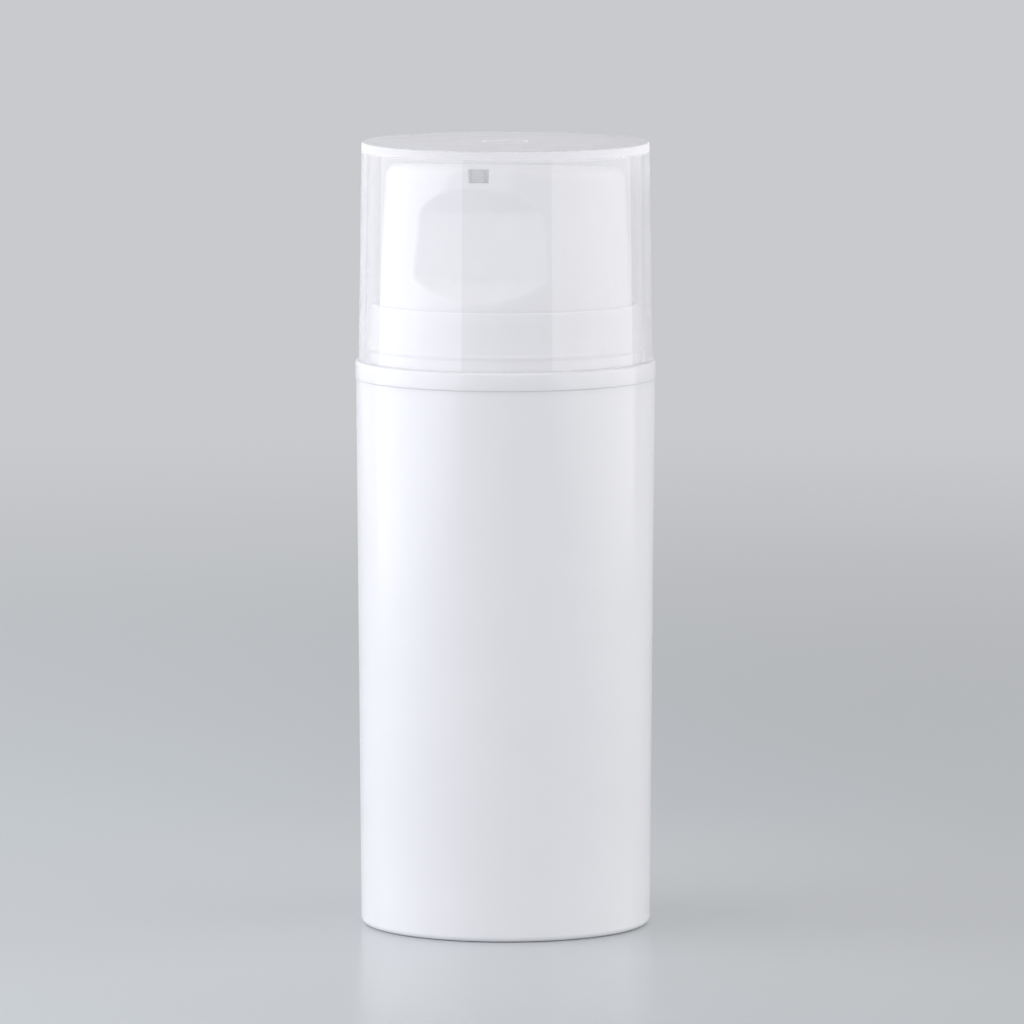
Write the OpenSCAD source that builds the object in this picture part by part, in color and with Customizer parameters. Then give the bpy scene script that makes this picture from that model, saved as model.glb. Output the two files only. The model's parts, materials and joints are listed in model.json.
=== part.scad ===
// Airless pump bottle: a push button under a clear overcap, a clipped collar, a metering pump and a
// straight body with a rising follower. Millimetres, +Z up, nozzle towards -Y, origin under the foot.

/* [Body] */
// Outer diameter of the body at its shoulder
body_d = 46; // [44:0.5:54]
// Height of the body up to its shoulder
body_h = 84.6; // [50:0.2:140]
// Wall of the body at its shoulder
body_wall = 2; // [1.8:0.1:2.4]
// Wall of the body at its foot
foot_wall = 1.3; // [1.1:0.1:1.8]
// Thickness of the shoulder around the neck
shoulder_t = 1.6; // [1.2:0.1:2.4]
// Wall of the neck
neck_wall = 1.6; // [1.2:0.1:2.2]
// Height of the neck above the shoulder
neck_h = 2.4; // [2.2:0.1:3]
// How far the clip bead stands out of the neck
neck_bead = 0.5; // [0.3:0.05:0.6]
// Height of the clip bead above the shoulder
neck_bead_z = 1.5; // [1.3:0.1:1.7]
// Rounding of the outer foot edge
foot_round = 0.9; // [0.4:0.1:1]
// Rounding of the edges on both sides of the shoulder seam
seam_round = 0.22; // [0.1:0.02:0.3]

/* [Base plug] */
// Height of the plug in the foot of the body
plug_h = 4; // [3.6:0.2:6]
// Wall of the plug's foot ring
plug_wall = 1.6; // [1.2:0.1:2.4]
// Depth of the recess under the plug
plug_recess = 1.4; // [0.8:0.1:1.8]
// Thickness of the plug's floor
plug_floor = 1.3; // [1:0.1:1.6]
// Diameter of the vent hole
vent_d = 1.5; // [1:0.1:3]
// How far the plug's clip bead stands out
plug_bead = 0.3; // [0.2:0.05:0.4]

/* [Follower] */
// Height of the follower
follower_h = 9; // [8:0.5:14]
// Height of each wiping lip
lip_h = 1; // [0.6:0.1:1.6]
// How far the lips stand out of the follower's waist
lip_reach = 0.65; // [0.3:0.05:0.9]
// Wall of the follower
follower_wall = 1.3; // [1:0.1:2]
// Rise of the follower's crown
crown_rise = 0.7; // [0.3:0.1:1]

/* [Collar] */
// How far the band stands out of the body
band_step = 0.1; // [0:0.05:0.4]
// Height of the band, from the shoulder seam to the ledge
band_h = 2.8; // [2.4:0.1:3.4]
// Wall of the band
band_wall = 1.4; // [1.1:0.1:1.6]
// Rounding of the band's top edge
band_round = 0.5; // [0.2:0.05:0.7]
// Thickness of the ledge
ledge_t = 1.1; // [0.8:0.1:1.4]
// Gap between the overcap and the sleeve
sleeve_gap = 0.6; // [0.45:0.05:0.8]
// Wall of the sleeve around the button
sleeve_wall = 0.95; // [0.7:0.05:1.2]
// Height of the sleeve above the ledge
sleeve_h = 8.95; // [8.4:0.05:12]
// Draft of the sleeve in degrees
sleeve_draft = 1; // [0.5:0.1:1.2]
// Thickness of the collar's wall around the neck
skirt_wall = 1.25; // [1:0.05:1.5]
// Thickness of the web that holds the pump down
web_t = 1; // [0.8:0.1:1.4]
// Height of the overcap's bead above the ledge
cap_bead_z = 2.1; // [1.2:0.1:3.4]

/* [Pump] */
// Travel of the button
stroke = 5; // [3:0.5:6]
// Bore of the pump cylinder
chamber_d = 11.2; // [10.4:0.2:12]
// Wall of the pump cylinder
chamber_wall = 1.1; // [0.9:0.1:1.3]
// Thickness of the neck gasket
gasket_t = 0.8; // [0.4:0.1:1.4]
// Thickness of the pump carrier
carrier_t = 1; // [0.8:0.1:1.6]
// Wall of the carrier's hub around the cylinder
hub_wall = 1.25; // [1:0.05:1.6]
// How far the cylinder's foot hangs below the carrier
inlet_drop = 3.8; // [3.4:0.1:4.4]
// Diameter of the inlet hole
inlet_d = 1.8; // [1.4:0.1:2]
// Diameter of the inlet ball
ball_d = 3; // [2.8:0.1:3.2]
// Lift of the inlet ball
ball_lift = 0.8; // [0.5:0.1:1.2]
// Thickness of the ball cage
cage_t = 0.9; // [0.7:0.1:1.4]
// How far the ball cage stands over the ball's pocket
cage_step = 1.5; // [1.2:0.1:1.8]
// Wire of the seal between the cylinder and the carrier
seal_wire = 0.84; // [0.7:0.02:0.9]
// Outer diameter of the stem
stem_d = 5.4; // [5:0.1:6]
// Wall of the stem
stem_wall = 0.75; // [0.6:0.05:0.9]
// Height of the tip's valve head
head_h = 1.2; // [1:0.1:1.6]
// Thickness of the piston's wiping wall
piston_wall = 0.95; // [0.8:0.05:1.2]
// Height of the piston's hub
piston_hub_h = 2.6; // [2:0.1:3.4]
// How far the piston slips on the tip before it opens
slip = 0.8; // [0.4:0.1:1.2]
// Width of the stop collar on the stem
stop_w = 1.1; // [0.8:0.1:1.3]
// Height of the stop collar on the stem
stop_h = 1.5; // [1:0.1:2]
// Thickness of the cylinder cap
lid_t = 1.2; // [1:0.1:1.6]
// Wall of the cylinder cap's skirt
lid_wall = 1.15; // [0.9:0.05:1.4]
// Depth of the cylinder cap's skirt
lid_skirt = 3.5; // [3:0.1:4]

/* [Spring] */
// Wire of the return spring
wire_d = 0.9; // [0.7:0.05:1]
// Length of the return spring at rest
spring_h = 16.5; // [16.4:0.1:17.5]
// Turns of the return spring
spring_turns = 7; // [5:1:8]
// Gap between the return spring and the cylinder cap
spring_gap = 0.85; // [0.6:0.05:1.2]

/* [Button] */
// Gap between the button and the sleeve
button_gap = 0.3; // [0.2:0.05:0.5]
// Draft of the button's side in degrees
button_draft = 2.76; // [1.5:0.02:3]
// Height of the button on its axis
button_h = 22.3; // [22:0.1:26]
// Slope of the button's top in degrees, upwards to the nozzle
button_slope = 4.7; // [2:0.1:6]
// Rounding of the button's top edge
button_round = 2.2; // [1.4:0.1:2.6]
// Wall of the button
button_wall = 1.2; // [1:0.1:1.4]
// Thickness of the button's top
roof_t = 0.95; // [0.8:0.05:1.2]
// Depth of the flat nozzle face in the button's side
nozzle_flat = 0.6; // [0.4:0.05:0.9]
// Depth of the scoop below the nozzle
scoop_depth = 2.45; // [1.8:0.05:2.9]
// Height of the scoop's lower ramp above the button's foot
scoop_low = 5.9; // [5:0.1:7]
// Height of the scoop's flat floor
scoop_h = 10.3; // [8:0.1:10.6]
// Height of the ramp between the scoop and the nozzle face
scoop_ramp = 3.6; // [2:0.1:3.8]
// Width of the outlet
outlet_w = 3; // [2:0.1:4]
// Height of the outlet
outlet_h = 2; // [1.4:0.1:2.1]
// Depth of the wide part of the outlet
outlet_depth = 9.6; // [6:0.1:11]
// Diameter of the passage behind the outlet
passage_d = 1.6; // [1:0.1:1.8]
// Wall around the outlet
duct_wall = 0.8; // [0.6:0.1:1]

/* [Button core] */
// Wall of the socket that holds the stem
socket_wall = 1.35; // [1:0.05:1.6]
// Thickness of the core's plate
plate_t = 1.2; // [1:0.1:1.6]
// How deep the core's tube stands in the button
core_grip = 2.4; // [1.8:0.1:3]
// Radius of the core's tube
core_r = 3.55; // [3.2:0.05:3.8]

/* [Overcap] */
// Step between the band and the overcap's rim
cap_step = 0.5; // [0.5:0.05:0.7]
// Draft of the overcap's side in degrees
cap_draft = 0.85; // [0.3:0.05:1]
// Wall of the overcap
cap_wall = 1.35; // [1.1:0.05:1.6]
// Thickness of the overcap's top
cap_top_t = 1.3; // [1:0.1:1.8]
// Room between the button and the overcap's top
cap_room = 0.96; // [0.5:0.02:4]
// Rounding of the overcap's top edge
cap_round = 0.5; // [0.3:0.05:1]
// Diameter of the gate mark in the overcap's top
gate_d = 7; // [4:0.5:10]
// Depth of the gate mark
gate_depth = 0.15; // [0.05:0.05:0.3]

/* [Fits] */
// Radial clearance of pieces that slide or turn on each other
run_fit = 0.05; // [0.03:0.01:0.08]
// Clearance of pieces that are fixed to each other
seat_fit = 0.1; // [0.05:0.01:0.15]
// Gap between pieces that stop each other at the end of a travel
stop_gap = 0.3; // [0.1:0.05:0.5]

/* [Hidden] */
$fn = 96;
eps = 0.01;
arc_steps = 8;

white = "#f3f4f7";
clear = [0.88, 0.91, 0.94, 0.4];
natural = "#e9eaec";
rubber = "#3c3e42";
steel = "#b9bcc0";

// Radii from the body inwards
body_r = body_d / 2;
bore_r = body_r - body_wall;
foot_r = bore_r + foot_wall;
band_r = body_r + band_step;
band_in = band_r - band_wall;
cap_r = band_r - cap_step;
cap_in = cap_r - cap_wall;
sleeve_r = cap_in - sleeve_gap;
sleeve_in = sleeve_r - sleeve_wall;
button_r = sleeve_in - button_gap;
skirt_in = sleeve_r - skirt_wall;
neck_r = skirt_in - seat_fit - neck_bead;
neck_in = neck_r - neck_wall;
carrier_r = skirt_in - seat_fit;

// Radii from the stem outwards
stem_r = stem_d / 2;
stem_in = stem_r - stem_wall;
shank_r = stem_in - run_fit;
stop_r = stem_r + stop_w;
chamber_r = chamber_d / 2;
piston_r = chamber_r - run_fit;
piston_in = piston_r - piston_wall;
head_r = piston_in - 4 * run_fit;
cylinder_r = chamber_r + chamber_wall;
hub_r = cylinder_r + run_fit + hub_wall;
clip = 0.25;
lid_in = cylinder_r + run_fit;
lid_r = lid_in + lid_wall;
spring_in = lid_r + spring_gap;
spring_r = spring_in + wire_d / 2;
flange_r = spring_in - stop_gap;
web_in = flange_r + seat_fit;
seat_in = lid_r + stop_gap;
seat_out = spring_in + 2 * wire_d;

// Levels from the foot up to the button
rim_z = body_h + neck_h;
ledge_z = body_h + band_h;
carrier_z = rim_z + gasket_t;
web_z = carrier_z + carrier_t;
hub_drop = 1.4;
seal_level = web_z - (carrier_t + hub_drop) / 2;
seal_r = cylinder_r + run_fit - eps - seal_wire / 2;
web_top = web_z + web_t;
sleeve_top = ledge_z + sleeve_h;
button_z = web_top + stroke + stop_gap;
button_top = button_z + button_h;

// Levels of the inlet valve, with its seat a cone of seat_turn degrees
seat_turn = 45;
ball_r = ball_d / 2;
ball_play = 0.4;
pocket_r = ball_r + ball_play;
inlet_r = inlet_d / 2;
seat_t = 0.8;
inlet_z = carrier_z - inlet_drop;
seat_z = inlet_z + seat_t;
ball_z = seat_z + ball_r / cos(seat_turn) - inlet_r * tan(seat_turn) + run_fit;
cage_z = ball_z + ball_r + ball_lift + run_fit;
cage_r = pocket_r + cage_step;
floor_z = cage_z + cage_t;

// Levels of the piston and the stem
tip_z = floor_z + stroke + stop_gap;
piston_z = tip_z + head_h + run_fit;
piston_top = piston_z + piston_hub_h;
piston_skirt = 0.6;
stem_z = piston_top + slip + run_fit;
cylinder_top = stem_z + stop_h + 2 * run_fit;
lid_top = cylinder_top + lid_t;
guide_h = 0.6;
guide_wall = 1.15;
guide_top = lid_top + guide_h;
lid_foot = cylinder_top - lid_skirt;
lid_clip_z = lid_foot + 1;
grip = 3.4;

// Levels inside the button, from its top down
passage_z = button_top - (roof_t + outlet_h / 2) / cos(button_slope);
well_r = 2;
well_top = passage_z + passage_d / 2 + seat_fit;
core_top = passage_z - passage_d / 2 - seat_fit;
plate_top = core_top - core_grip;
plate_z = plate_top - plate_t;
stem_top = plate_top - seat_fit;
socket_z = guide_top + stroke + stop_gap;
socket_r = stem_r + run_fit + socket_wall;
boss_r = core_r + seat_fit + button_wall;
seat_level = web_top + spring_h;

// Form of the button
button_top_r = button_r - tan(button_draft) * (button_h - button_round);
nozzle_y = button_top_r - nozzle_flat;
scoop_y = button_top_r - scoop_depth;
scoop_z = button_z + scoop_low;
scoop_top = scoop_z + scoop_h;
ramp_turn = atan((nozzle_y - scoop_y) / scoop_ramp);
flare = button_draft + button_slope + 0.5;
overshoot = 6;
reach = 2 * button_h + overshoot;
scoop_turn = 45;

// Levels of the overcap
button_high = (button_top_r - button_round) * sin(button_slope) + button_round * (1 - cos(button_slope));
cap_under = button_top + button_high + cap_room;
cap_top = cap_under + cap_top_t;
cap_corner = 0.6;

// Levels of the follower and the plug
follower_z = plug_h + stop_gap;
follower_top = follower_z + follower_h;
follower_r = bore_r - run_fit;
waist_r = follower_r - lip_reach;
plug_r = bore_r - run_fit;
plug_bead_z = plug_recess + plug_floor;

// Points of an arc around c, from angle a to angle b
function arc(c, r, a, b) = [
    for (i = [0:arc_steps])
        let (t = a + (b - a) * i / arc_steps)
        [c[0] + r * cos(t), c[1] + r * sin(t)]
];

// Middle line of the spring's wire: flat end turns, even turns between them
spring_steps = 16;
end_rise = wire_d * 1.35;
function spring_rise(t) =
    t < 1 ? end_rise * t :
    t > spring_turns - 1 ? spring_h - wire_d - end_rise * (spring_turns - t) :
    end_rise + (spring_h - wire_d - 2 * end_rise) * (t - 1) / (spring_turns - 2);
function spring_point(t) = [
    spring_r * cos(360 * t), spring_r * sin(360 * t), web_top + wire_d / 2 + spring_rise(t)
];
wire_sides = 8;
function wire_ring(t) = [
    for (k = [0:wire_sides - 1])
        let (a = 360 * k / wire_sides)
        spring_point(t) + wire_d / 2 * [cos(a) * cos(360 * t), cos(a) * sin(360 * t), sin(a)]
];

// Solid turned from a half profile of radius and height
module lathe(profile) {
    rotate_extrude() polygon(profile);
}

// Moves children from the plane of the button's top, at its axis, to their place
module on_slope() {
    translate([0, 0, button_top]) rotate([-button_slope, 0, 0]) children();
}

// Button without its nozzle face and scoop, drawn in by a wall and a roof
module button_form(wall, roof) {
    height = button_h + overshoot;
    edge = button_round - wall / 2;
    edge_r = button_top_r - wall - edge;
    flank = height + overshoot;
    intersection() {
        translate([0, 0, button_z - wall])
            cylinder(h = height, r1 = button_r - wall, r2 = button_r - wall - height * tan(button_draft));
        on_slope() lathe(concat(
            [[0, -flank], [0, -roof]],
            arc([edge_r, -roof - edge], edge, 90, flare),
            [[edge_r + edge * cos(flare) + flank * tan(flare), -flank]]
        ));
    }
}

// What the nozzle face and the scoop take from the front, drawn in by a wall
module front_cut(wall) {
    turn = wall * tan(ramp_turn / 2);
    low = scoop_z - wall * tan(scoop_turn / 2);
    rotate([90, 0, -90]) linear_extrude(height = reach, center = true) polygon([
        [reach, low - (reach - scoop_y + wall) * tan(scoop_turn)],
        [scoop_y - wall, low],
        [scoop_y - wall, scoop_top + turn],
        [nozzle_y - wall, scoop_top + scoop_ramp + turn],
        [nozzle_y - wall, button_top + reach],
        [reach, button_top + reach]
    ]);
}

// Clear push-on cap over the button
module overcap() {
    height = cap_top - ledge_z;
    slant = tan(cap_draft);
    top_r = cap_r - height * slant;
    in_top_r = cap_in - (cap_under - ledge_z) * slant;
    color(clear) lathe(concat(
        [[cap_in, ledge_z], [cap_r, ledge_z]],
        arc([top_r - cap_round, cap_top - cap_round], cap_round, 0, 90),
        [[gate_d / 2, cap_top], [gate_d / 2 - gate_depth, cap_top - gate_depth]],
        [[0, cap_top - gate_depth], [0, cap_under]],
        arc([in_top_r - cap_corner, cap_under - cap_corner], cap_corner, 90, 0)
    ));
}

// Outer shell of the button, with the outlet duct and the well for the core
module actuator_shell() {
    duct_top = -roof_t;
    duct_low = duct_top - outlet_h;
    color(white) difference() {
        union() {
            difference() {
                button_form(0, 0);
                difference() {
                    button_form(button_wall, roof_t);
                    front_cut(button_wall);
                }
            }
            intersection() {
                button_form(button_wall / 2, roof_t / 2);
                union() {
                    translate([0, 0, plate_top]) cylinder(h = button_h, r = boss_r);
                    on_slope()
                        translate([-outlet_w / 2 - duct_wall, -nozzle_y - overshoot, duct_low - duct_wall])
                        cube([outlet_w + 2 * duct_wall, nozzle_y + overshoot, outlet_h + duct_wall + roof_t]);
                }
            }
        }
        front_cut(0);
        on_slope() {
            translate([-outlet_w / 2, -nozzle_y - overshoot, duct_low])
                cube([outlet_w, outlet_depth + overshoot, outlet_h]);
            translate([0, 0, (duct_low + duct_top) / 2]) rotate([90, 0, 0])
                cylinder(h = nozzle_y - outlet_depth + eps, r = passage_d / 2);
        }
        translate([0, 0, plate_top - eps])
            cylinder(h = core_grip + seat_fit + eps, r = core_r + seat_fit);
        translate([0, 0, plate_top]) cylinder(h = well_top - plate_top, r = well_r);
    }
}

// Inner part of the button: stem socket, spring seat and the tube that fits the shell's well
module actuator_core() {
    color(natural) lathe([
        [stem_r + run_fit, socket_z],
        [socket_r, socket_z],
        [socket_r, plate_z],
        [seat_in, plate_z],
        [seat_in, seat_level],
        [seat_out, seat_level],
        [seat_out, plate_top],
        [core_r, plate_top],
        [core_r, core_top],
        [stem_in, core_top],
        [stem_in, plate_top],
        [stem_r + run_fit, plate_top]
    ]);
}

// Clipped collar: band, ledge, sleeve around the button and the web that clamps the pump
module collar() {
    foot_gap = 0.3;
    rib_h = 0.4;
    bead_h = 0.5;
    bead_flat = 0.15;
    rim = sleeve_wall / 3;
    sleeve_foot_r = sleeve_r + sleeve_h * tan(sleeve_draft) / 2;
    bead_r = cap_in - cap_bead_z * tan(cap_draft) - run_fit;
    bead_z = ledge_z + cap_bead_z;
    color(white) lathe(concat(
        [[band_in, body_h]],
        arc([band_r - seam_round, body_h + seam_round], seam_round, -90, 0),
        arc([band_r - band_round, ledge_z - band_round], band_round, 0, 90),
        [[sleeve_foot_r, ledge_z], [sleeve_foot_r, bead_z - bead_h]],
        [[bead_r, bead_z], [bead_r, bead_z + bead_flat], [sleeve_foot_r, bead_z + bead_flat + bead_h]],
        arc([sleeve_r - rim, sleeve_top - rim], rim, 0, 180),
        [[sleeve_in, sleeve_top - rim], [sleeve_in, web_top], [web_in, web_top], [web_in, web_z]],
        [[skirt_in, web_z], [skirt_in, body_h + foot_gap + 2 * rib_h]],
        [[neck_r + seat_fit, body_h + foot_gap + rib_h], [neck_r + seat_fit, body_h + foot_gap]],
        [[sleeve_r, body_h + foot_gap], [sleeve_r, ledge_z - ledge_t], [band_in, ledge_z - ledge_t]]
    ));
}

// Soft flat ring between the neck's rim and the carrier
module neck_gasket() {
    color(natural) lathe([[neck_in, rim_z], [neck_r, rim_z], [neck_r, carrier_z], [neck_in, carrier_z]]);
}

// Disc that closes the neck and holds the cylinder in its hub
module pump_carrier() {
    hub_z = carrier_z - hub_drop;
    hole_r = cylinder_r + run_fit;
    color(natural) lathe([
        [hole_r, hub_z], [hub_r, hub_z], [hub_r, carrier_z],
        [carrier_r, carrier_z], [carrier_r, web_z], [hole_r, web_z]
    ]);
}

// Seal ring in the cylinder's groove
module cylinder_seal() {
    color(rubber) rotate_extrude() translate([seal_r, seal_level]) circle(d = seal_wire);
}

// Metering cylinder with the inlet seat, the ball's pocket and the clip beads
module pump_cylinder() {
    groove_r = seal_r - seal_wire / 2 - eps;
    groove_h = seal_wire + 2 * run_fit;
    clip_z = carrier_z - hub_drop - run_fit;
    toe = 0.8;
    color(natural) lathe([
        [inlet_r, inlet_z],
        [cylinder_r - toe, inlet_z],
        [cylinder_r, inlet_z + toe],
        [cylinder_r, clip_z - 3 * clip],
        [cylinder_r + clip, clip_z - clip],
        [cylinder_r, clip_z],
        [cylinder_r, seal_level - groove_h / 2],
        [groove_r, seal_level - groove_h / 2],
        [groove_r, seal_level + groove_h / 2],
        [cylinder_r, seal_level + groove_h / 2],
        [cylinder_r, web_z],
        [flange_r, web_z],
        [flange_r, web_top],
        [cylinder_r, web_top],
        [cylinder_r, lid_clip_z - clip],
        [cylinder_r + clip, lid_clip_z],
        [cylinder_r, lid_clip_z + 2 * clip],
        [cylinder_r, cylinder_top],
        [chamber_r, cylinder_top],
        [chamber_r, floor_z],
        [cage_r + run_fit, floor_z],
        [cage_r + run_fit, cage_z],
        [pocket_r, cage_z],
        [pocket_r, seat_z + (pocket_r - inlet_r) * tan(seat_turn)],
        [inlet_r, seat_z]
    ]);
}

// Clipped lid of the cylinder that guides the stem and stops it
module cylinder_cap() {
    clip_out = lid_in + clip;
    color(natural) lathe([
        [lid_in, lid_foot],
        [lid_r, lid_foot],
        [lid_r, lid_top],
        [stem_r + guide_wall, lid_top],
        [stem_r + guide_wall, guide_top],
        [stem_r + run_fit, guide_top],
        [stem_r + run_fit, cylinder_top],
        [lid_in, cylinder_top],
        [lid_in, lid_clip_z + 2 * clip],
        [clip_out, lid_clip_z],
        [lid_in, lid_clip_z - clip]
    ]);
}

// Hollow stem with its stop collar
module stem() {
    color(natural) lathe([
        [stem_in, stem_z],
        [stop_r, stem_z],
        [stop_r, stem_z + stop_h],
        [stem_r, stem_z + stop_h],
        [stem_r, stem_top],
        [stem_in, stem_top]
    ]);
}

// Valve head with a slotted shank that stands in the stem's foot
module stem_tip() {
    head_top = tip_z + head_h;
    shank_top = stem_z + grip;
    slot_w = shank_r * 0.45;
    slot_in = shank_r * 0.6;
    edge = 0.4;
    color(natural) difference() {
        lathe([
            [0, tip_z], [head_r - edge, tip_z], [head_r, tip_z + edge], [head_r, head_top],
            [shank_r, head_top], [shank_r, shank_top], [0, shank_top]
        ]);
        for (a = [0:90:270])
            rotate([0, 0, a])
            translate([slot_in, -slot_w / 2, head_top])
            cube([shank_r, slot_w, shank_top - head_top + eps]);
    }
}

// Double-lipped piston that slips on the tip's shank
module pump_piston() {
    relief = 0.15;
    low = piston_z - piston_skirt;
    high = piston_top + piston_skirt;
    color(white) lathe([
        [shank_r + run_fit, piston_z],
        [piston_in, piston_z],
        [piston_in, low],
        [piston_r, low],
        [piston_r, low + piston_skirt],
        [piston_r - relief, low + 2 * piston_skirt],
        [piston_r - relief, high - 2 * piston_skirt],
        [piston_r, high - piston_skirt],
        [piston_r, high],
        [piston_in, high],
        [piston_in, piston_top],
        [shank_r + run_fit, piston_top]
    ]);
}

// Steel spring between the collar's web and the button's core
module return_spring() {
    rings = spring_turns * spring_steps;
    points = [for (i = [0:rings]) each wire_ring(i / spring_steps)];
    sides = [
        for (i = [0:rings - 1], k = [0:wire_sides - 1])
            let (a = i * wire_sides, n = (k + 1) % wire_sides)
            each [[a + k, a + wire_sides + k, a + n], [a + n, a + wire_sides + k, a + wire_sides + n]]
    ];
    ends = [
        [for (k = [0:wire_sides - 1]) k],
        [for (k = [0:wire_sides - 1]) rings * wire_sides + wire_sides - 1 - k]
    ];
    color(steel) polyhedron(points, concat(sides, ends));
}

// Steel ball of the inlet valve
module inlet_ball() {
    color(steel) translate([0, 0, ball_z]) sphere(r = ball_r);
}

// Drilled disc that keeps the ball in its pocket
module ball_cage() {
    hole_r = pocket_r * 0.26;
    hole_place = pocket_r * 0.7;
    color(white) translate([0, 0, cage_z]) difference() {
        cylinder(h = cage_t, r = cage_r);
        for (a = [0:90:270])
            rotate([0, 0, a]) translate([hole_place, 0, -eps]) cylinder(h = cage_t + 2 * eps, r = hole_r);
    }
}

// Straight body with a drafted outside, a straight bore and a short clip neck
module bottle_body() {
    bead_z = body_h + neck_bead_z;
    bead_half = 0.4;
    shoulder_z = body_h - shoulder_t;
    groove = plug_bead + run_fit;
    color(white) lathe(concat(
        arc([foot_r - foot_round, foot_round], foot_round, -90, 0),
        arc([body_r - seam_round, body_h - seam_round], seam_round, 0, 90),
        [[neck_r, body_h], [neck_r, bead_z - bead_half]],
        [[neck_r + neck_bead, bead_z], [neck_r, bead_z + bead_half], [neck_r, rim_z]],
        [[neck_in, rim_z], [neck_in, shoulder_z], [bore_r, shoulder_z]],
        [[bore_r, plug_bead_z + 2 * groove], [bore_r + groove, plug_bead_z + groove]],
        [[bore_r + groove, plug_bead_z - groove], [bore_r, plug_bead_z - 2 * groove], [bore_r, 0]]
    ));
}

// Piston that rises in the body as the product is used
module follower_piston() {
    skin = follower_wall;
    deck = follower_top - lip_h - lip_reach;
    hollow_r = waist_r - skin;
    crown_r = hollow_r / 3;
    color(natural) lathe([
        [0, deck + crown_rise],
        [crown_r, deck + crown_rise],
        [hollow_r - skin, deck],
        [hollow_r, deck],
        [follower_r - skin / 2, follower_top],
        [follower_r, follower_top],
        [follower_r, follower_top - lip_h],
        [waist_r, follower_top - lip_h - lip_reach],
        [waist_r, follower_z + lip_h + lip_reach],
        [follower_r, follower_z + lip_h],
        [follower_r, follower_z],
        [hollow_r, follower_z],
        [hollow_r, deck - skin],
        [0, deck - skin]
    ]);
}

// Clipped foot of the body with its vent hole
module base_plug() {
    ring_in = plug_r - plug_wall;
    floor_top = plug_recess + plug_floor;
    color(white) lathe([
        [vent_d / 2, plug_recess],
        [ring_in, plug_recess],
        [ring_in, 0],
        [plug_r, 0],
        [plug_r, plug_bead_z - 2 * plug_bead],
        [plug_r + plug_bead, plug_bead_z - plug_bead],
        [plug_r + plug_bead, plug_bead_z + plug_bead],
        [plug_r, plug_bead_z + 2 * plug_bead],
        [plug_r, plug_h],
        [ring_in, plug_h],
        [ring_in, floor_top],
        [vent_d / 2, floor_top]
    ]);
}

overcap();
actuator_shell();
actuator_core();
collar();
neck_gasket();
pump_carrier();
cylinder_seal();
pump_cylinder();
cylinder_cap();
stem();
stem_tip();
pump_piston();
return_spring();
inlet_ball();
ball_cage();
bottle_body();
follower_piston();
base_plug();
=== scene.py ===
"""An airless pump bottle in glossy white plastic under a clear cap, on a pale studio floor.

Lengths are in metres, in the bottle's own frame: +Z up, the nozzle towards -Y.
"""

import json
import math

import bpy
from mathutils import Matrix, Vector

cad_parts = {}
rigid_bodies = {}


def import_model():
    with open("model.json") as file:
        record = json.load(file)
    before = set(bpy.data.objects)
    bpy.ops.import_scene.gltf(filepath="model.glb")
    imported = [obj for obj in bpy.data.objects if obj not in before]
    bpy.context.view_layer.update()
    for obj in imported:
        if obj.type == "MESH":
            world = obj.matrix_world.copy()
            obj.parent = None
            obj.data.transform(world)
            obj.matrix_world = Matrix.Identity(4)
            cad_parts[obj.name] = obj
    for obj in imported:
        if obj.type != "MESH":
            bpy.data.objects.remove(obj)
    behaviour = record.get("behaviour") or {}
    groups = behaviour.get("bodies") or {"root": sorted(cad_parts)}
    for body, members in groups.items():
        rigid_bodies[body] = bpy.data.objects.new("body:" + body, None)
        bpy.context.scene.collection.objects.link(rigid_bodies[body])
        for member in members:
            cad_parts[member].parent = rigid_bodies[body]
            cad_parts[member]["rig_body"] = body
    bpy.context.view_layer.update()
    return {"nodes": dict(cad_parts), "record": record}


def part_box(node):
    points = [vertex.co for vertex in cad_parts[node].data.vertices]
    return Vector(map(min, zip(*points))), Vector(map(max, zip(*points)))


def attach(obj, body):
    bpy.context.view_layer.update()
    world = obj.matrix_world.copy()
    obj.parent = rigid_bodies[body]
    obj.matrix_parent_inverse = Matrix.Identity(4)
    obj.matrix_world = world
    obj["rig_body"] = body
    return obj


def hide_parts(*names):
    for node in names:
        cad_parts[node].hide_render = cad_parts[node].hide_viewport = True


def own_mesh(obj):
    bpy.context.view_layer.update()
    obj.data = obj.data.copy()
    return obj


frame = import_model()

mm = 0.001
SIDES = 192
ARC_STEPS = 8
MERGE = 0.001 * mm
POLE = 0.0001 * mm

RUN_FIT = 0.05 * mm
SEAT_FIT = 0.1 * mm


# Sizes read from the frame

def low(node):
    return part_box(node)[0].z


def high(node):
    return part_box(node)[1].z


def radius(node):
    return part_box(node)[1].x


BODY_R = radius("bottle_body")
RIM_Z = high("bottle_body")
SEAM_Z = low("collar")
BAND_R = radius("collar")
SLEEVE_TOP = high("collar")
CAP_R = radius("overcap")
LEDGE_Z = low("overcap")
CAP_TOP = high("overcap")
BUTTON_R = radius("actuator_shell")
BUTTON_Z = low("actuator_shell")
CORE_TOP = high("actuator_core")
WEB_Z = high("pump_carrier")
WEB_TOP = low("return_spring")
BORE_R = radius("follower_piston") + RUN_FIT
PLUG_H = high("base_plug")

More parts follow.
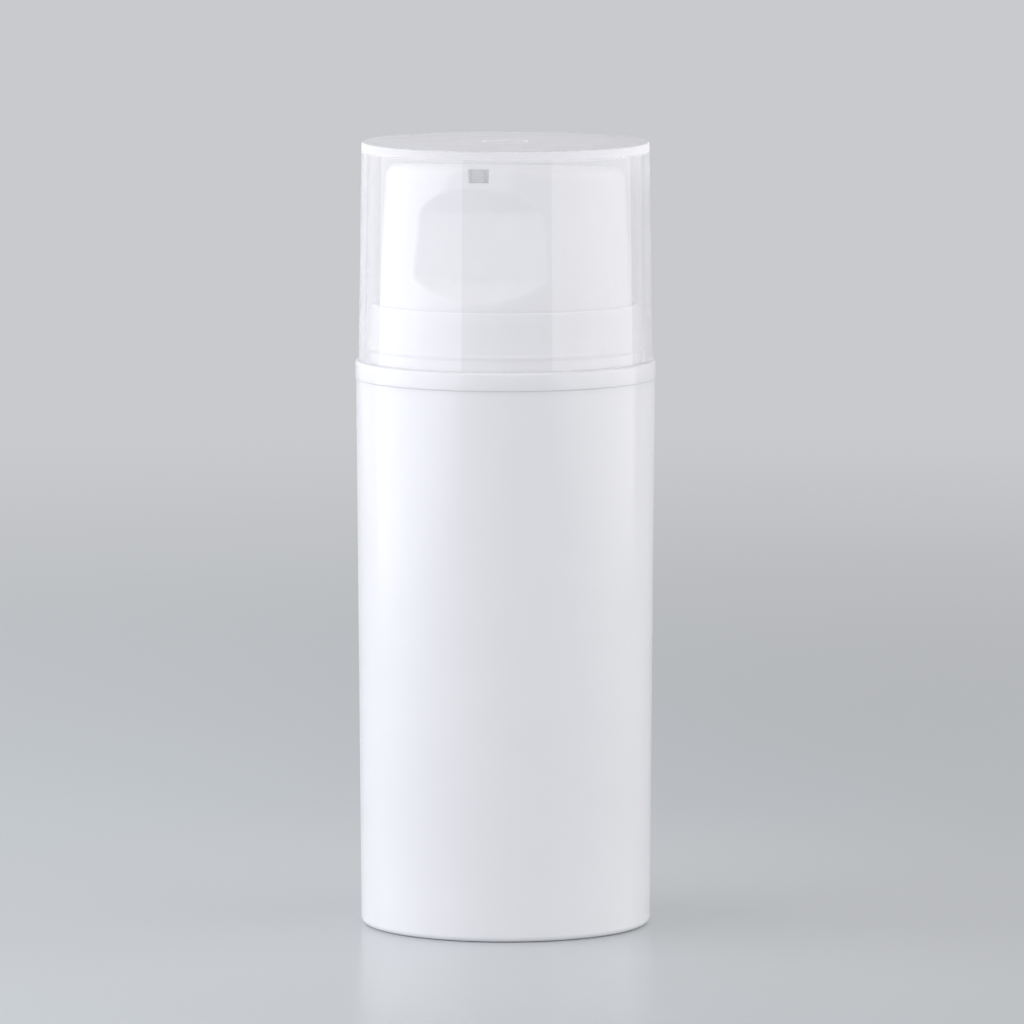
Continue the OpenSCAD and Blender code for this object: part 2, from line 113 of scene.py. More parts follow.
# Sizes of the visible shells
BODY_FOOT_WALL = 1.3 * mm
FOOT_ROUND = 0.9 * mm
SEAM_ROUND = 0.1 * mm
SHOULDER_T = 1.6 * mm
NECK_WALL = 1.6 * mm
NECK_BEAD = 0.5 * mm
NECK_BEAD_Z = 1.5 * mm
NECK_BEAD_HALF = 0.4 * mm
BAND_WALL = 1.4 * mm
BAND_FOOT = 0.3 * mm
BAND_RIB = 0.4 * mm
BAND_ROUND = 0.5 * mm
LEDGE_T = 1.1 * mm
SLEEVE_WALL = 0.95 * mm
SLEEVE_GAP = 0.3 * mm
SLEEVE_DRAFT = math.radians(1)
GRIP_RISE = 2.1 * mm
GRIP_SIDE = 0.5 * mm
GRIP_LAND = 0.15 * mm
LIT_EDGE = 2 * mm
SKIRT_WALL = 1.25 * mm
WEB_IN = 9.45 * mm
CAP_WALL = 1.35 * mm
CAP_TOP_T = 1.3 * mm
CAP_DRAFT = math.radians(0.85)
CAP_ROUND = 0.5 * mm
CAP_CORNER = 0.6 * mm
GATE_R = 3.5 * mm
GATE_DEPTH = 0.15 * mm
PLUG_WALL = 1.6 * mm
PLUG_RECESS = 1.4 * mm
PLUG_FLOOR = 1.3 * mm
PLUG_BEAD = 0.3 * mm
VENT_R = 0.75 * mm

# Sizes of the button
BUTTON_H = 22.3 * mm
BUTTON_DRAFT = math.radians(2.76)
BUTTON_SLOPE = math.radians(4.7)
BUTTON_ROUND = 2.2 * mm
BUTTON_WALL = 1.2 * mm
ROOF_T = 0.95 * mm
NOZZLE_FLAT = 0.6 * mm
SCOOP_DEPTH = 2.45 * mm
SCOOP_LOW = 5.9 * mm
SCOOP_H = 10.3 * mm
SCOOP_RAMP = 3.6 * mm
SCOOP_TURN = math.radians(45)
CREASE = 0.25 * mm
SCOOP_CREASE = 0.5 * mm
OUTLET_W = 3 * mm
OUTLET_H = 2 * mm
OUTLET_DEPTH = 9.6 * mm
OUTLET_EDGE = 0.15 * mm
PASSAGE_R = 0.8 * mm
DUCT_WALL = 0.8 * mm
WELL_R = 2 * mm
CORE_R = 3.65 * mm
CORE_GRIP = 2.4 * mm

SLEEVE_IN = BUTTON_R + SLEEVE_GAP
SLEEVE_R = SLEEVE_IN + SLEEVE_WALL
SKIRT_IN = SLEEVE_R - SKIRT_WALL
NECK_R = SKIRT_IN - SEAT_FIT - NECK_BEAD
BUTTON_TOP = BUTTON_Z + BUTTON_H
BUTTON_TOP_R = BUTTON_R - math.tan(BUTTON_DRAFT) * (BUTTON_H - BUTTON_ROUND)
NOZZLE_D = BUTTON_TOP_R - NOZZLE_FLAT
SCOOP_D = BUTTON_TOP_R - SCOOP_DEPTH
SCOOP_Z = BUTTON_Z + SCOOP_LOW
SCOOP_TOP = SCOOP_Z + SCOOP_H


# Modelling helpers

def arc(centre, r, start, end, steps=ARC_STEPS):
    """Points of an arc in the half profile, from one angle to another in degrees."""
    turns = [math.radians(start + (end - start) * i / steps) for i in range(steps + 1)]
    return [(centre[0] + r * math.cos(t), centre[1] + r * math.sin(t)) for t in turns]


def deselect():
    if bpy.context.object and bpy.context.object.mode == "EDIT":
        bpy.ops.object.mode_set(mode="OBJECT")
    bpy.ops.object.select_all(action="DESELECT")


def only(piece):
    """Makes this piece the one that is selected."""
    deselect()
    piece.select_set(True)
    bpy.context.view_layer.objects.active = piece


def turned(name, profile, sides=SIDES):
    """A closed solid drawn ring by ring from its half profile of (radius, height).

    A profile that starts and ends on the axis closes there, and any other closes on its first ring.
    """
    on_axis = profile[0][0] == 0
    rings = [(max(r, POLE), z) for r, z in (profile if on_axis else profile + profile[:1])]
    r, z = rings[0]
    deselect()
    bpy.ops.mesh.primitive_circle_add(vertices=sides, radius=r, location=(0, 0, z))
    piece = bpy.context.object
    piece.name = name
    bpy.ops.object.transform_apply(location=True)
    bpy.ops.object.mode_set(mode="EDIT")
    bpy.ops.mesh.select_all(action="SELECT")
    for next_r, next_z in rings[1:]:
        bpy.ops.mesh.extrude_region_move(TRANSFORM_OT_translate={"value": (0, 0, next_z - z)})
        widen = next_r / r
        bpy.ops.transform.resize(value=(widen, widen, 1), center_override=(0, 0, next_z))
        r, z = next_r, next_z
    close_mesh()
    bpy.ops.object.mode_set(mode="OBJECT")
    return piece


def close_mesh():
    """Merges what lies on one point, then turns all faces outwards."""
    bpy.ops.mesh.select_all(action="SELECT")
    bpy.ops.mesh.remove_doubles(threshold=MERGE)
    bpy.ops.mesh.normals_make_consistent(inside=False)


def soften(piece, width=0.08 * mm, sharp=35):
    """Breaks the sharp edges as a polished mould does."""
    only(piece)
    edge = piece.modifiers.new("edge", "BEVEL")
    edge.width = width
    edge.segments = 2
    edge.limit_method = "ANGLE"
    edge.angle_limit = math.radians(sharp)
    bpy.ops.object.modifier_apply(modifier=edge.name)


def shade(piece, sharp=35):
    """Shades all but the sharp edges smooth, and keeps the large faces true beside the small ones."""
    only(piece)
    bpy.ops.object.shade_smooth_by_angle(angle=math.radians(sharp))
    even = piece.modifiers.new("even", "WEIGHTED_NORMAL")
    even.keep_sharp = True
    even.weight = 100
    bpy.ops.object.modifier_apply(modifier=even.name)


def cut(piece, tool, operation="DIFFERENCE"):
    """Cuts the tool out of the piece, or joins it on, and removes the tool."""
    only(piece)
    change = piece.modifiers.new("cut", "BOOLEAN")
    change.operation = operation
    change.solver = "MANIFOLD"
    change.object = tool
    bpy.ops.object.modifier_apply(modifier=change.name)
    bpy.data.objects.remove(tool)


def stands_for(piece, node, finish):
    """Gives a piece its finish and its CAD node's body, and hides the node."""
    piece.data.materials.clear()
    piece.data.materials.append(finish)
    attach(piece, frame["nodes"][node]["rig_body"])
    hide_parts(node)


SLOTS = {part["node"]: part["material_slot"] for part in frame["record"]["subparts"]}


# Material helpers

def linear(colour):
    """Linear colour of an sRGB hex value."""
    shares = [int(colour[i:i + 2], 16) / 255 for i in (1, 3, 5)]
    return [s / 12.92 if s <= 0.04045 else ((s + 0.055) / 1.055) ** 2.4 for s in shares] + [1]


def add(tree, kind, inputs=None, **settings):
    """Adds a node with its settings, its values and its links."""
    made = tree.nodes.new(kind)
    for name, value in settings.items():
        setattr(made, name, value)
    for socket, value in (inputs or {}).items():
        if isinstance(value, bpy.types.NodeSocket):
            tree.links.new(value, made.inputs[socket])
        else:
            made.inputs[socket].default_value = value
    return made


def new_material(name):
    """An empty material with its output and the coordinates of its piece."""
    material = bpy.data.materials.new(name)
    material.use_nodes = True
    tree = material.node_tree
    tree.nodes.clear()
    output = add(tree, "ShaderNodeOutputMaterial")
    coords = add(tree, "ShaderNodeTexCoord").outputs["Object"]
    return material, tree, output, coords


def per_metre(size):
    """Noise scale for features of this size."""
    return 1 / size


def calc(tree, operation, *values, **settings):
    """The result of one sum on sockets and numbers."""
    return add(tree, "ShaderNodeMath", dict(enumerate(values)), operation=operation, **settings).outputs[0]


def mixed(tree, share, first, second):
    """Two shaders mixed, all of the second one where the share is 1."""
    return add(tree, "ShaderNodeMixShader", {0: share, 1: first, 2: second}).outputs[0]


def ray_is(tree, *kinds):
    """Says whether a ray is of one of these kinds."""
    rays = add(tree, "ShaderNodeLightPath").outputs
    found = rays[kinds[0]]
    for kind in kinds[1:]:
        found = calc(tree, "MAXIMUM", found, rays[kind])
    return found


def lets_light_through(tree, plastic, share, sides):
    """A thin wall that passes a share of the light on to what its inside lights.

    Only rays that gather light for another face pass, so the wall itself looks closed. With "back" they
    pass only on their way out of the wall, with "both" either way.
    """
    passes = ray_is(tree, "Is Shadow Ray", "Is Diffuse Ray")
    if sides == "back":
        passes = calc(tree, "MULTIPLY", passes, add(tree, "ShaderNodeNewGeometry").outputs["Backfacing"])
    open_wall = add(tree, "ShaderNodeBsdfTransparent", {"Color": (share, share, share, 1)})
    return mixed(tree, passes, plastic, open_wall.outputs[0])


def moulded(name, colour, gloss, wave, grain, depth, light=None, **shader):
    """A moulded plastic: slow waves of shrinkage and fine grain in its surface, uneven gloss.

    Wave and grain are sizes of features, depth is the relief's, and light is what a thin wall passes on.
    """
    material, tree, output, coords = new_material(name)
    waves = add(tree, "ShaderNodeTexNoise", {"Vector": coords, "Scale": per_metre(wave), "Detail": 1})
    grains = add(tree, "ShaderNodeTexNoise", {"Vector": coords, "Scale": per_metre(grain), "Detail": 2})
    shine = add(tree, "ShaderNodeMapRange", {
        "Value": waves.outputs["Fac"], "From Min": 0.3, "From Max": 0.7,
        "To Min": gloss[0], "To Max": gloss[1],
    })
    height = calc(tree, "MULTIPLY_ADD", grains.outputs["Fac"], 0.15, waves.outputs["Fac"])
    relief = add(tree, "ShaderNodeBump", {"Height": height, "Distance": depth, "Strength": 1})
    tint = add(tree, "ShaderNodeMix", {
        "Factor": waves.outputs["Fac"], "A": linear(colour[0]), "B": linear(colour[1]),
    }, data_type="RGBA")
    plastic = add(tree, "ShaderNodeBsdfPrincipled", {
        "Base Color": tint.outputs["Result"], "Roughness": shine.outputs["Result"],
        "Normal": relief.outputs["Normal"], "Subsurface Radius": (1, 1, 1), **shader,
    })
    surface = plastic.outputs["BSDF"]
    if light:
        surface = lets_light_through(tree, surface, *light)
    tree.links.new(surface, output.inputs["Surface"])
    return material


def white_polypropylene(name="white_polypropylene", light=None):
    """White-pigmented polypropylene from a polished injection mould: glossy, even, a little translucent."""
    return moulded(
        name, ("#f0f0f3", "#f2f2f5"), (0.13, 0.19), 9 * mm, 0.5 * mm, 0.004 * mm, light,
        **{"IOR": 1.49, "Subsurface Weight": 0.35, "Subsurface Scale": 1.2 * mm},
    )


def natural_polypropylene():
    """Polypropylene without pigment from a plain injection mould: milky and satin, light goes deeper in."""
    return moulded(
        "natural_polypropylene", ("#e3e6e8", "#e9ebec"), (0.26, 0.36), 6 * mm, 0.4 * mm, 0.006 * mm,
        **{"IOR": 1.49, "Subsurface Weight": 0.35, "Subsurface Scale": 1.5 * mm},
    )


def soft_polyethylene():
    """Low-density polyethylene, injected, soft for sealing lips: waxy, with a broader shine."""
    return moulded(
        "soft_polyethylene", ("#e8eaec", "#eeeff0"), (0.38, 0.5), 5 * mm, 0.3 * mm, 0.008 * mm,
        **{"IOR": 1.51, "Subsurface Weight": 0.3, "Subsurface Scale": 1.2 * mm},
    )


def nitrile_rubber():
    """Black nitrile rubber, pressed in a hot mould: dull, with the mould's fine bloom."""
    return moulded(
        "nitrile_rubber", ("#1b1c1e", "#26272a"), (0.55, 0.7), 2 * mm, 0.15 * mm, 0.01 * mm,
        **{"IOR": 1.52},
    )


def polyethylene_foam():
    """Closed-cell polyethylene foam, die-cut from sheet: matt, pitted by cells of about 0.3 mm."""
    material, tree, output, coords = new_material("polyethylene_foam")
    cells = add(tree, "ShaderNodeTexVoronoi", {"Vector": coords, "Scale": per_metre(0.3 * mm)})
    relief = add(tree, "ShaderNodeBump", {
        "Height": cells.outputs["Distance"], "Distance": 0.05 * mm, "Strength": 1,
    })
    foam = add(tree, "ShaderNodeBsdfPrincipled", {
        "Base Color": linear("#eeeeec"), "Roughness": 0.75, "IOR": 1.51,
        "Normal": relief.outputs["Normal"],
    })
    tree.links.new(foam.outputs["BSDF"], output.inputs["Surface"])
    return material


def clear_polypropylene():
    """Clarified polypropylene, injected into a polished mould: clear, with faint flow waves.

    Its cool haze is thin face on, thicker edge on and in the solid corner under the top.
    """
    material, tree, output, coords = new_material("clear_polypropylene")
    flow = add(tree, "ShaderNodeMapping", {"Vector": coords, "Scale": (1, 1, 0.12)})
    waves = add(tree, "ShaderNodeTexNoise", {
        "Vector": flow.outputs["Vector"], "Scale": per_metre(4 * mm), "Detail": 1,
    })
    relief = add(tree, "ShaderNodeBump", {
        "Height": waves.outputs["Fac"], "Distance": 0.003 * mm, "Strength": 1,
    })
    clear = add(tree, "ShaderNodeBsdfPrincipled", {
        "Base Color": linear("#ffffff"), "Roughness": 0.02, "IOR": 1.49, "Transmission Weight": 1,
        "Specular IOR Level": 0.9, "Normal": relief.outputs["Normal"],
    })
    haze = add(tree, "ShaderNodeBsdfTranslucent", {"Color": linear("#fdfcfe")})
    milk = add(tree, "ShaderNodeBsdfDiffuse", {"Color": linear("#fdfcfe")})
    cloud = mixed(tree, 0.5, haze.outputs[0], milk.outputs[0])
    face_on = add(tree, "ShaderNodeMapRange", {
        "Value": waves.outputs["Fac"], "From Min": 0.3, "From Max": 0.7, "To Min": 0.15, "To Max": 0.18,
    })
    slant = add(tree, "ShaderNodeLayerWeight", {"Blend": 0.5})
    edge_on = add(tree, "ShaderNodeMapRange", {
        "Value": slant.outputs["Facing"], "From Min": 0.5, "From Max": 0.9, "To Max": 0.21,
    }, interpolation_type="SMOOTHSTEP")
    height = add(tree, "ShaderNodeSeparateXYZ", {"Vector": coords})
    upright = add(tree, "ShaderNodeNewGeometry").outputs["Normal"]
    level = add(tree, "ShaderNodeSeparateXYZ", {"Vector": upright})
    side = add(tree, "ShaderNodeMapRange", {
        "Value": level.outputs["Z"], "From Min": 0.5, "From Max": 0.9, "To Min": 0.9, "To Max": 0,
    })
    under = CAP_TOP - CAP_TOP_T
    corner = add(tree, "ShaderNodeMapRange", {
        "Value": height.outputs["Z"], "From Min": under - 0.2 * mm, "From Max": under, "To Max": 1,
    })
    thick = calc(tree, "MULTIPLY", corner.outputs["Result"], side.outputs["Result"])
    thin = calc(tree, "ADD", face_on.outputs["Result"], edge_on.outputs["Result"])
    share = calc(tree, "ADD", thin, thick, use_clamp=True)
    hazy = mixed(tree, share, clear.outputs[0], cloud)
    through = add(tree, "ShaderNodeBsdfTransparent", {"Color": linear("#ffffff")})
    lighting = ray_is(tree, "Is Shadow Ray", "Is Diffuse Ray")
    tree.links.new(mixed(tree, lighting, hazy, through.outputs[0]), output.inputs["Surface"])
    return material


def metal(name, colour, gloss, scratch, depth):
    """Bare stainless steel, drawn to wire or polished to a ball: a grey shine broken by fine lines."""
    material, tree, output, coords = new_material(name)
    lines = add(tree, "ShaderNodeTexNoise", {"Vector": coords, "Scale": per_metre(scratch), "Detail": 3})
    shine = add(tree, "ShaderNodeMapRange", {
        "Value": lines.outputs["Fac"], "From Min": 0.3, "From Max": 0.7,
        "To Min": gloss[0], "To Max": gloss[1],
    })
    relief = add(tree, "ShaderNodeBump", {
        "Height": lines.outputs["Fac"], "Distance": depth, "Strength": 1,
    })
    steel = add(tree, "ShaderNodeBsdfPrincipled", {
        "Base Color": linear(colour), "Metallic": 1, "Roughness": shine.outputs["Result"],
        "Normal": relief.outputs["Normal"],
    })
    tree.links.new(steel.outputs["BSDF"], output.inputs["Surface"])
    return material


# What the thin white walls pass on, set by the photo's tone in the outlet, well above the real plastic's share
OUTSIDE_PASSES = 0.99
INSIDE_PASSES = 0.97

THIN_OUTSIDE = white_polypropylene("white_polypropylene_outside", (OUTSIDE_PASSES, "back"))
THIN_INSIDE = white_polypropylene("white_polypropylene_inside", (INSIDE_PASSES, "both"))
FINISHES = {
    "white_pp": white_polypropylene(),
    "clear_cap": clear_polypropylene(),
    "natural_pp": natural_polypropylene(),
    "piston_pe": soft_polyethylene(),
    "foam_gasket": polyethylene_foam(),
    "seal_rubber": nitrile_rubber(),
    "spring_steel": metal("drawn_stainless_wire", "#b4b6ba", (0.25, 0.4), 0.2 * mm, 0.004 * mm),
    "ball_steel": metal("polished_stainless_ball", "#c4c6ca", (0.04, 0.09), 0.6 * mm, 0.0005 * mm),
}


# Body and base plug

def bottle_body():
    """Straight body, drafted outside and straight inside, with its shoulder and its clip neck."""
    foot_r = BORE_R + BODY_FOOT_WALL
    neck_in = NECK_R - NECK_WALL
    bead_z = SEAM_Z + NECK_BEAD_Z
    shoulder_z = SEAM_Z - SHOULDER_T
    groove = PLUG_BEAD + RUN_FIT
    groove_z = PLUG_RECESS + PLUG_FLOOR
    return turned("bottle_body_shell", [
        *arc((foot_r - FOOT_ROUND, FOOT_ROUND), FOOT_ROUND, -90, 0),
        *arc((BODY_R - SEAM_ROUND, SEAM_Z - SEAM_ROUND), SEAM_ROUND, 0, 90),
        (NECK_R, SEAM_Z),
        (NECK_R, bead_z - NECK_BEAD_HALF),
        (NECK_R + NECK_BEAD, bead_z),
        (NECK_R, bead_z + NECK_BEAD_HALF),
        (NECK_R, RIM_Z),
        (neck_in, RIM_Z),
        (neck_in, shoulder_z),
        (BORE_R, shoulder_z),
        (BORE_R, groove_z + 2 * groove),
        (BORE_R + groove, groove_z + groove),
        (BORE_R + groove, groove_z - groove),
        (BORE_R, groove_z - 2 * groove),
        (BORE_R, 0),
    ])


def base_plug():
    """Clipped foot of the body: a ring to stand on, a recessed floor and its vent hole."""
    outer = BORE_R - RUN_FIT
    inner = outer - PLUG_WALL
    bead_z = PLUG_RECESS + PLUG_FLOOR
    return turned("base_plug_disc", [
        (VENT_R, PLUG_RECESS),
        (inner, PLUG_RECESS),
        (inner, 0),
        (outer, 0),
        (outer, bead_z - 2 * PLUG_BEAD),
        (outer + PLUG_BEAD, bead_z - PLUG_BEAD),
        (outer + PLUG_BEAD, bead_z + PLUG_BEAD),
        (outer, bead_z + 2 * PLUG_BEAD),
        (outer, PLUG_H),
        (inner, PLUG_H),
        (inner, bead_z),
        (VENT_R, bead_z),
    ])


# Collar

def collar():
    """Band over the shoulder, ledge for the cap, sleeve round the button, web over the pump."""
    band_in = BAND_R - BAND_WALL
    ledge_low = LEDGE_Z - LEDGE_T
    rim = SLEEVE_WALL / 3
    sleeve_foot = SLEEVE_R + (SLEEVE_TOP - LEDGE_Z) * math.tan(SLEEVE_DRAFT) / 2
    grip_z = LEDGE_Z + GRIP_RISE
    grip_r = CAP_R - CAP_WALL - GRIP_RISE * math.tan(CAP_DRAFT) - RUN_FIT
    neck_fit = NECK_R + SEAT_FIT
    edge_r = SLEEVE_R + (LIT_EDGE - rim) / (SLEEVE_TOP - rim - grip_z) * (sleeve_foot - SLEEVE_R)
    return turned("collar_shell", [
        (band_in, SEAM_Z),
        *arc((BAND_R - SEAM_ROUND, SEAM_Z + SEAM_ROUND), SEAM_ROUND, -90, 0),
        *arc((BAND_R - BAND_ROUND, LEDGE_Z - BAND_ROUND), BAND_ROUND, 0, 90),
        (sleeve_foot, LEDGE_Z),
        (sleeve_foot, grip_z - GRIP_SIDE),
        (grip_r, grip_z),
        (grip_r, grip_z + GRIP_LAND),
        (sleeve_foot, grip_z + GRIP_LAND + GRIP_SIDE),
        (edge_r, SLEEVE_TOP - LIT_EDGE),
        *arc((SLEEVE_R - rim, SLEEVE_TOP - rim), rim, 0, 90),
        *arc((SLEEVE_IN + rim, SLEEVE_TOP - rim), rim, 90, 180),
        (SLEEVE_IN, WEB_TOP),
        (WEB_IN, WEB_TOP),
        (WEB_IN, WEB_Z),
        (SKIRT_IN, WEB_Z),
        (SKIRT_IN, SEAM_Z + BAND_FOOT + 2 * BAND_RIB),
        (neck_fit, SEAM_Z + BAND_FOOT + BAND_RIB),
        (neck_fit, SEAM_Z + BAND_FOOT),
        (SLEEVE_R, SEAM_Z + BAND_FOOT),
        (SLEEVE_R, ledge_low),
        (band_in, ledge_low),
    ])


# Overcap

def overcap():
    """Push-on cap: drafted wall, flat top with the shallow round of its gate, open below."""
    height = CAP_TOP - LEDGE_Z
    under = CAP_TOP - CAP_TOP_T
    slant = math.tan(CAP_DRAFT)
    top_r = CAP_R - height * slant
    rim_in = CAP_R - CAP_WALL
    in_r = rim_in - (under - LEDGE_Z) * slant
    return turned("overcap_shell", [
        (0, under),
        *arc((in_r - CAP_CORNER, under - CAP_CORNER), CAP_CORNER, 90, 0),
        (rim_in, LEDGE_Z),
        (CAP_R, LEDGE_Z),
        *arc((top_r - CAP_ROUND, CAP_TOP - CAP_ROUND), CAP_ROUND, 0, 90),
        (GATE_R, CAP_TOP),
        (GATE_R - GATE_DEPTH, CAP_TOP - GATE_DEPTH),
        (0, CAP_TOP - GATE_DEPTH),
    ])


# Button

BUTTON_SIDES = 320
FRONT_SHARE = 0.625
FRONT_TURN = math.radians(37)
SIDE_ROWS = 100
WALL_ROWS = 40
ROUND_STEPS = 28
WALL_STEPS = 10
ROD_SIDES = 48


def blend_min(a, b, soft):
    """The smaller of two lengths, with the crease between them rounded over this width."""
    share = min(max(0.5 + (b - a) / (2 * soft), 0), 1)
    return b + (a - b) * share - soft * share * (1 - share)


def blend_max(a, b, soft):
    return -blend_min(-a, -b, soft)


def front_depth(z, wall):
    """How far before the axis the nozzle face and the scoop lie at this height, inside a wall.

    The scoop's lower end turns out by 45 degrees, so it comes forward by as much as the height falls.
    """
    ramp = (NOZZLE_D - SCOOP_D) / SCOOP_RAMP
    turn = wall * math.tan(math.atan(ramp) / 2)
    lower = SCOOP_D + (SCOOP_Z - wall * math.tan(SCOOP_TURN / 2) - z)
    upper = SCOOP_D + (z - SCOOP_TOP - turn) * ramp
    front = blend_min(upper, NOZZLE_D, CREASE)
    return blend_max(blend_max(SCOOP_D, lower, SCOOP_CREASE), front, CREASE) - wall


def button_profile(wall, roof, round_r):
    """Half profile of the button from its foot to its axis, drawn in by a wall and a roof."""
    r = BUTTON_R - wall
    corner_z = BUTTON_TOP - roof - round_r
    corner_r = r - (corner_z - BUTTON_Z) * math.tan(BUTTON_DRAFT) - round_r
    steps = ROUND_STEPS if wall == 0 else WALL_STEPS
    return [(r, BUTTON_Z), *arc((corner_r, corner_z), round_r, math.degrees(BUTTON_DRAFT), 90, steps)]


def crowd(x, y):
    """Angle from the front of a point, after the columns are crowded into the nozzle's side."""
    turn = math.atan2(x, -y) / math.pi
    share = abs(turn)
    if share <= FRONT_SHARE:
        angle = FRONT_TURN * share / FRONT_SHARE
    else:
        angle = FRONT_TURN + (share - FRONT_SHARE) / (1 - FRONT_SHARE) * (math.pi - FRONT_TURN)
    return math.copysign(angle, turn)


def press_front(piece):
    """Slopes the button's top up to the front, then presses in the nozzle face and the scoop."""
    slant = math.tan(BUTTON_DRAFT)
    rise = BUTTON_H - BUTTON_ROUND
    corner_r = BUTTON_TOP_R - BUTTON_ROUND
    corner_z = BUTTON_TOP - BUTTON_ROUND
    for vertex in piece.data.vertices:
        x, y, z = vertex.co
        angle = crowd(x, y)
        r = math.hypot(x, y)
        cone = BUTTON_R - (z - BUTTON_Z) * slant
        inner = r < cone - BUTTON_WALL / 2 and z < BUTTON_TOP - ROOF_T / 2
        if r > corner_r and z > corner_z:
            inner = math.hypot(r - corner_r, z - corner_z) < BUTTON_ROUND - ROOF_T / 2
        share = min(max((z - BUTTON_Z) / rise, 0), 1)
        z += r * math.cos(angle) * math.tan(BUTTON_SLOPE) * share
        r *= (BUTTON_R - (z - BUTTON_Z) * slant) / cone
        wall = BUTTON_WALL if inner else 0
        front = r * math.cos(angle)
        if front > 0:
            front = blend_min(front, front_depth(z, wall), CREASE)
        vertex.co = (r * math.sin(angle), -front, z)


def subdivide_sides(piece, r, rows):
    """Adds rows of edges to the long side wall that starts at this radius at the foot."""
    mesh = piece.data
    for part in (mesh.vertices, mesh.edges, mesh.polygons):
        part.foreach_set("select", [False] * len(part))
    for edge in mesh.edges:
        a, b = (mesh.vertices[i].co for i in edge.vertices)
        foot = a if a.z < b.z else b
        edge.select = abs(a.z - b.z) > BUTTON_H / 2 and abs(math.hypot(foot.x, foot.y) - r) < 0.1 * mm
    bpy.context.tool_settings.mesh_select_mode = (False, True, False)
    bpy.ops.object.mode_set(mode="EDIT")
    bpy.ops.mesh.subdivide(number_cuts=rows)
    bpy.ops.object.mode_set(mode="OBJECT")
    bpy.context.tool_settings.mesh_select_mode = (True, False, False)


def duct_axis(depth):
    """Height of the outlet's middle line at this distance before the axis."""
    middle = BUTTON_TOP - (ROOF_T + OUTLET_H / 2) / math.cos(BUTTON_SLOPE)
    return middle + depth * math.tan(BUTTON_SLOPE)


def duct(name, stations):
    """A square tool along the outlet, drawn through stations of (distance before the axis, growth)."""
    deselect()
    depth, grow = stations[0]
    centre = (0, -depth, duct_axis(depth))
    bpy.ops.mesh.primitive_plane_add(size=1, location=centre, rotation=(math.pi / 2, 0, 0))
    tool = bpy.context.object
    tool.name = name
    size = (OUTLET_W + 2 * grow, 1, OUTLET_H + 2 * grow)
    bpy.ops.object.transform_apply(location=True, rotation=True)
    bpy.ops.object.mode_set(mode="EDIT")
    bpy.ops.mesh.select_all(action="SELECT")
    bpy.ops.transform.resize(value=size, center_override=centre)
    for next_depth, next_grow in stations[1:]:
        step = (0, depth - next_depth, duct_axis(next_depth) - duct_axis(depth))
        bpy.ops.mesh.extrude_region_move(TRANSFORM_OT_translate={"value": step})
        next_size = (OUTLET_W + 2 * next_grow, 1, OUTLET_H + 2 * next_grow)
        widen = tuple(b / a for a, b in zip(size, next_size))
        bpy.ops.transform.resize(value=widen, center_override=(0, -next_depth, duct_axis(next_depth)))
        depth, size = next_depth, next_size
    close_mesh()
    bpy.ops.object.mode_set(mode="OBJECT")
    return tool


def rod(r, start, end, tilt=0):
    """A round tool between two points of the plane through the nozzle, given as (y, z)."""
    deselect()
    bpy.ops.mesh.primitive_cylinder_add(
        vertices=ROD_SIDES,
        radius=r,
        depth=math.hypot(end[0] - start[0], end[1] - start[1]),
        location=(0, (start[0] + end[0]) / 2, (start[1] + end[1]) / 2),
        rotation=(tilt, 0, 0),
    )
    return bpy.context.object


def button_shell():
    """Outer shell of the button: sloped top, nozzle face, scoop, outlet, and the well for the core."""
    outside = button_profile(0, 0, BUTTON_ROUND)
    inside = button_profile(BUTTON_WALL, ROOF_T, BUTTON_ROUND - BUTTON_WALL / 2)
    piece = turned("button_shell", [
        (0, BUTTON_TOP - ROOF_T), *reversed(inside), *outside, (0, BUTTON_TOP),
    ], sides=BUTTON_SIDES)
    subdivide_sides(piece, BUTTON_R, SIDE_ROWS)
    subdivide_sides(piece, BUTTON_R - BUTTON_WALL, WALL_ROWS)
    press_front(piece)
    plate_top = CORE_TOP - CORE_GRIP
    deep = NOZZLE_D - OUTLET_DEPTH
    past = 2 * mm
    well_top = duct_axis(0) + PASSAGE_R + SEAT_FIT
    cut(piece, rod(CORE_R + BUTTON_WALL, (0, plate_top), (0, BUTTON_TOP - ROOF_T / 2)), "UNION")
    cut(piece, duct("duct_wall", [(0, DUCT_WALL), (NOZZLE_D - BUTTON_ROUND, DUCT_WALL)]), "UNION")
    cut(piece, duct("outlet", [
        (deep, 0),
        (NOZZLE_D - OUTLET_EDGE, 0),
        (NOZZLE_D, OUTLET_EDGE),
        (NOZZLE_D + past, past + OUTLET_EDGE),
    ]))
    passage_end = (-deep - mm, duct_axis(deep + mm))
    cut(piece, rod(PASSAGE_R, (0, duct_axis(0)), passage_end, math.pi / 2 - BUTTON_SLOPE))
    cut(piece, rod(CORE_R, (0, plate_top - mm), (0, CORE_TOP + SEAT_FIT)))
    cut(piece, rod(WELL_R, (0, plate_top), (0, well_top)))
    return piece


# Light through the thin white walls

SHUT, SKIN, INSIDE = range(3)
LEVEL = 0.9
TILTED = 0.5
OUTWARD = 0.3
BESIDE = 0.1 * mm


def light_inside(piece, part_of):
    """Lets light through some faces of a thin white shell, so that its small openings aren't black.

    The part of a face is its slot: plain outside, outside that light comes in by, or inner wall.
    """
    piece.data.materials.append(THIN_OUTSIDE)
    piece.data.materials.append(THIN_INSIDE)
    for face in piece.data.polygons:
        x, y, z = face.center
        r = max(math.hypot(x, y), POLE)
        out = (face.normal.x * x + face.normal.y * y) / r
        face.material_index = part_of(x, y, z, r, out, face.normal.z)


